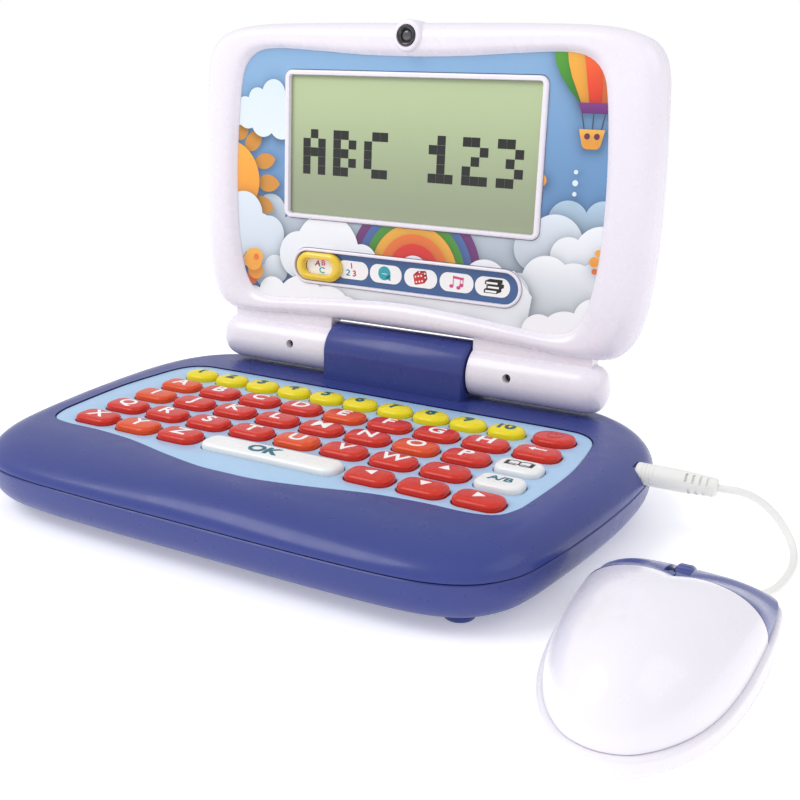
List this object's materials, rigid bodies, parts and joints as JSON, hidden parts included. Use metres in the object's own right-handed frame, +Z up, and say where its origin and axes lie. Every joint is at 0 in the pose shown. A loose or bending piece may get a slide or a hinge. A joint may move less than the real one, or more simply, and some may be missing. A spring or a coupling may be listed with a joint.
{
  "type": "toy laptop computer",
  "caption": "Toy laptop with a hinged lid, small screen and sliding mode selector, spring-back letter and number keys, and a corded two-button mouse with a scroll wheel.",
  "frame": {"origin": "on the desk, under the middle of the box round the laptop and its mouse, with the cord left out", "axes": "+X to the user's right, +Y from the user towards the lid, +Z up"},
  "size_m": [0.2965, 0.2013, 0.1782],
  "materials": {
    "base_blue": "moulded blue ABS with a soft gloss",
    "door_blue": "moulded blue ABS, fine texture",
    "panel_blue": "moulded light blue plate, satin",
    "key_red": "glossy red moulded keys",
    "key_orange": "glossy orange-red moulded keys",
    "key_white": "glossy white moulded keys",
    "key_yellow": "glossy yellow moulded keys",
    "lid_white": "white ABS with a lavender cast, soft gloss",
    "art_print": "printed sky picture on a plastic plate",
    "lcd": "grey-green display with dark picture elements",
    "track_blue": "dark blue printed slider bed with a light rim",
    "slider_yellow": "glossy yellow moulded ring",
    "lens_black": "polished black lens",
    "mouse_white": "white ABS, soft gloss",
    "mouse_blue": "moulded blue ABS, soft gloss",
    "plug_white": "soft white vinyl",
    "socket_black": "black moulded socket",
    "membrane_grey": "silicone dome sheet",
    "board_green": "printed circuit board",
    "speaker_black": "paper cone and steel basket",
    "steel": "plain steel rod"
  },
  "bodies": {
    "base": {"base_top_shell": "base_blue", "base_bottom_shell": "base_blue", "battery_door": "door_blue", "keyboard_panel": "panel_blue", "key_membrane": "membrane_grey", "circuit_board": "board_green", "loudspeaker": "speaker_black", "hinge_pin": "steel", "jack_socket": "socket_black", "mouse_plug": "plug_white", "mouse_cord": "plug_white"},
    "lid": {"lid_front_shell": "lid_white", "lid_rear_shell": "lid_white", "artwork_panel": "art_print", "screen_frame": "lid_white", "lcd_screen": "lcd", "slider_track": "track_blue", "camera_lens": "lens_black"},
    "mode_slider": {"mode_slider": "slider_yellow"},
    "mouse": {"mouse_bottom_shell": "mouse_white", "mouse_top_shell": "mouse_white"},
    "mouse_left_button": {"mouse_left_button": "mouse_blue"},
    "mouse_right_button": {"mouse_right_button": "mouse_blue"},
    "scroll_wheel": {"scroll_wheel": "mouse_blue"},
    "key_a": {"key_a": "key_orange"},
    "key_b": {"key_b": "key_red"},
    "key_c": {"key_c": "key_red"},
    "key_d": {"key_d": "key_red"},
    "key_e": {"key_e": "key_orange"},
    "key_f": {"key_f": "key_red"},
    "key_g": {"key_g": "key_red"},
    "key_h": {"key_h": "key_red"},
    "key_i": {"key_i": "key_orange"},
    "key_j": {"key_j": "key_red"},
    "key_k": {"key_k": "key_red"},
    "key_l": {"key_l": "key_red"},
    "key_m": {"key_m": "key_red"},
    "key_n": {"key_n": "key_red"},
    "key_o": {"key_o": "key_orange"},
    "key_p": {"key_p": "key_red"},
    "key_q": {"key_q": "key_red"},
    "key_r": {"key_r": "key_red"},
    "key_s": {"key_s": "key_red"},
    "key_t": {"key_t": "key_red"},
    "key_u": {"key_u": "key_orange"},
    "key_v": {"key_v": "key_red"},
    "key_w": {"key_w": "key_red"},
    "key_x": {"key_x": "key_red"},
    "key_y": {"key_y": "key_orange"},
    "key_z": {"key_z": "key_red"},
    "key_back_arrow": {"key_back_arrow": "key_red"},
    "key_book": {"key_book": "key_white"},
    "key_up_arrow": {"key_up_arrow": "key_red"},
    "key_language": {"key_language": "key_white"},
    "key_left_arrow": {"key_left_arrow": "key_red"},
    "key_down_arrow": {"key_down_arrow": "key_red"},
    "key_right_arrow": {"key_right_arrow": "key_red"},
    "key_ok": {"key_ok": "key_white"},
    "key_power": {"key_power": "key_red"},
    "key_number_strip": {"key_number_strip": "key_yellow"}
  },
  "joints": [
    {"name": "lid_hinge", "type": "hinge", "parent": "base", "child": "lid", "pos_m": [-0.02958, 0.08075, 0.0398], "axis": [1, 0, 0], "range_deg": [-25, 92]},
    {"name": "mode_slide", "type": "slide", "parent": "lid", "child": "mode_slider", "axis": [1, 0, 0], "range_m": [0, 0.081]},
    {"name": "mouse_glide", "type": "slide", "parent": "base", "child": "mouse", "axis": [1, 0, 0], "range_m": [0, 0.03], "deforming": ["mouse_cord"]},
    {"name": "mouse_wheel_turn", "type": "hinge", "parent": "mouse", "child": "scroll_wheel", "pos_m": [0.11893, -0.01805, 0.0127], "axis": [1, 0, 0], "continuous": true},
    {"name": "mouse_left_click", "type": "hinge", "parent": "mouse", "child": "mouse_left_button", "pos_m": [0.11893, -0.03175, 0.017], "axis": [-1, 0, 0], "range_deg": [0, 2.2], "stiffness_Nm_per_rad": 0.3},
    {"name": "mouse_right_click", "type": "hinge", "parent": "mouse", "child": "mouse_right_button", "pos_m": [0.11893, -0.03175, 0.017], "axis": [-1, 0, 0], "range_deg": [0, 2.2], "stiffness_Nm_per_rad": 0.3},
    {"name": "press_a", "type": "slide", "parent": "base", "child": "key_a", "axis": [0, 0, -1], "range_m": [0, 0.0015], "stiffness_N_per_m": 400},
    {"name": "press_b", "type": "slide", "parent": "base", "child": "key_b", "axis": [0, 0, -1], "range_m": [0, 0.0015], "stiffness_N_per_m": 400},
    {"name": "press_c", "type": "slide", "parent": "base", "child": "key_c", "axis": [0, 0, -1], "range_m": [0, 0.0015], "stiffness_N_per_m": 400},
    {"name": "press_d", "type": "slide", "parent": "base", "child": "key_d", "axis": [0, 0, -1], "range_m": [0, 0.0015], "stiffness_N_per_m": 400},
    {"name": "press_e", "type": "slide", "parent": "base", "child": "key_e", "axis": [0, 0, -1], "range_m": [0, 0.0015], "stiffness_N_per_m": 400},
    {"name": "press_f", "type": "slide", "parent": "base", "child": "key_f", "axis": [0, 0, -1], "range_m": [0, 0.0015], "stiffness_N_per_m": 400},
    {"name": "press_g", "type": "slide", "parent": "base", "child": "key_g", "axis": [0, 0, -1], "range_m": [0, 0.0015], "stiffness_N_per_m": 400},
    {"name": "press_h", "type": "slide", "parent": "base", "child": "key_h", "axis": [0, 0, -1], "range_m": [0, 0.0015], "stiffness_N_per_m": 400},
    {"name": "press_i", "type": "slide", "parent": "base", "child": "key_i", "axis": [0, 0, -1], "range_m": [0, 0.0015], "stiffness_N_per_m": 400},
    {"name": "press_j", "type": "slide", "parent": "base", "child": "key_j", "axis": [0, 0, -1], "range_m": [0, 0.0015], "stiffness_N_per_m": 400},
    {"name": "press_k", "type": "slide", "parent": "base", "child": "key_k", "axis": [0, 0, -1], "range_m": [0, 0.0015], "stiffness_N_per_m": 400},
    {"name": "press_l", "type": "slide", "parent": "base", "child": "key_l", "axis": [0, 0, -1], "range_m": [0, 0.0015], "stiffness_N_per_m": 400},
    {"name": "press_m", "type": "slide", "parent": "base", "child": "key_m", "axis": [0, 0, -1], "range_m": [0, 0.0015], "stiffness_N_per_m": 400},
    {"name": "press_n", "type": "slide", "parent": "base", "child": "key_n", "axis": [0, 0, -1], "range_m": [0, 0.0015], "stiffness_N_per_m": 400},
    {"name": "press_o", "type": "slide", "parent": "base", "child": "key_o", "axis": [0, 0, -1], "range_m": [0, 0.0015], "stiffness_N_per_m": 400},
    {"name": "press_p", "type": "slide", "parent": "base", "child": "key_p", "axis": [0, 0, -1], "range_m": [0, 0.0015], "stiffness_N_per_m": 400},
    {"name": "press_q", "type": "slide", "parent": "base", "child": "key_q", "axis": [0, 0, -1], "range_m": [0, 0.0015], "stiffness_N_per_m": 400},
    {"name": "press_r", "type": "slide", "parent": "base", "child": "key_r", "axis": [0, 0, -1], "range_m": [0, 0.0015], "stiffness_N_per_m": 400},
    {"name": "press_s", "type": "slide", "parent": "base", "child": "key_s", "axis": [0, 0, -1], "range_m": [0, 0.0015], "stiffness_N_per_m": 400},
    {"name": "press_t", "type": "slide", "parent": "base", "child": "key_t", "axis": [0, 0, -1], "range_m": [0, 0.0015], "stiffness_N_per_m": 400},
    {"name": "press_u", "type": "slide", "parent": "base", "child": "key_u", "axis": [0, 0, -1], "range_m": [0, 0.0015], "stiffness_N_per_m": 400},
    {"name": "press_v", "type": "slide", "parent": "base", "child": "key_v", "axis": [0, 0, -1], "range_m": [0, 0.0015], "stiffness_N_per_m": 400},
    {"name": "press_w", "type": "slide", "parent": "base", "child": "key_w", "axis": [0, 0, -1], "range_m": [0, 0.0015], "stiffness_N_per_m": 400},
    {"name": "press_x", "type": "slide", "parent": "base", "child": "key_x", "axis": [0, 0, -1], "range_m": [0, 0.0015], "stiffness_N_per_m": 400},
    {"name": "press_y", "type": "slide", "parent": "base", "child": "key_y", "axis": [0, 0, -1], "range_m": [0, 0.0015], "stiffness_N_per_m": 400},
    {"name": "press_z", "type": "slide", "parent": "base", "child": "key_z", "axis": [0, 0, -1], "range_m": [0, 0.0015], "stiffness_N_per_m": 400},
    {"name": "press_back_arrow", "type": "slide", "parent": "base", "child": "key_back_arrow", "axis": [0, 0, -1], "range_m": [0, 0.0015], "stiffness_N_per_m": 400},
    {"name": "press_book", "type": "slide", "parent": "base", "child": "key_book", "axis": [0, 0, -1], "range_m": [0, 0.0015], "stiffness_N_per_m": 400},
    {"name": "press_up_arrow", "type": "slide", "parent": "base", "child": "key_up_arrow", "axis": [0, 0, -1], "range_m": [0, 0.0015], "stiffness_N_per_m": 400},
    {"name": "press_language", "type": "slide", "parent": "base", "child": "key_language", "axis": [0, 0, -1], "range_m": [0, 0.0015], "stiffness_N_per_m": 400},
    {"name": "press_left_arrow", "type": "slide", "parent": "base", "child": "key_left_arrow", "axis": [0, 0, -1], "range_m": [0, 0.0015], "stiffness_N_per_m": 400},
    {"name": "press_down_arrow", "type": "slide", "parent": "base", "child": "key_down_arrow", "axis": [0, 0, -1], "range_m": [0, 0.0015], "stiffness_N_per_m": 400},
    {"name": "press_right_arrow", "type": "slide", "parent": "base", "child": "key_right_arrow", "axis": [0, 0, -1], "range_m": [0, 0.0015], "stiffness_N_per_m": 400},
    {"name": "press_ok", "type": "slide", "parent": "base", "child": "key_ok", "axis": [0, 0, -1], "range_m": [0, 0.0015], "stiffness_N_per_m": 400},
    {"name": "press_power", "type": "slide", "parent": "base", "child": "key_power", "axis": [0, 0, -1], "range_m": [0, 0.0015], "stiffness_N_per_m": 400},
    {"name": "press_number_strip", "type": "slide", "parent": "base", "child": "key_number_strip", "axis": [0, 0, -1], "range_m": [0, 0.0015], "stiffness_N_per_m": 900}
  ]
}
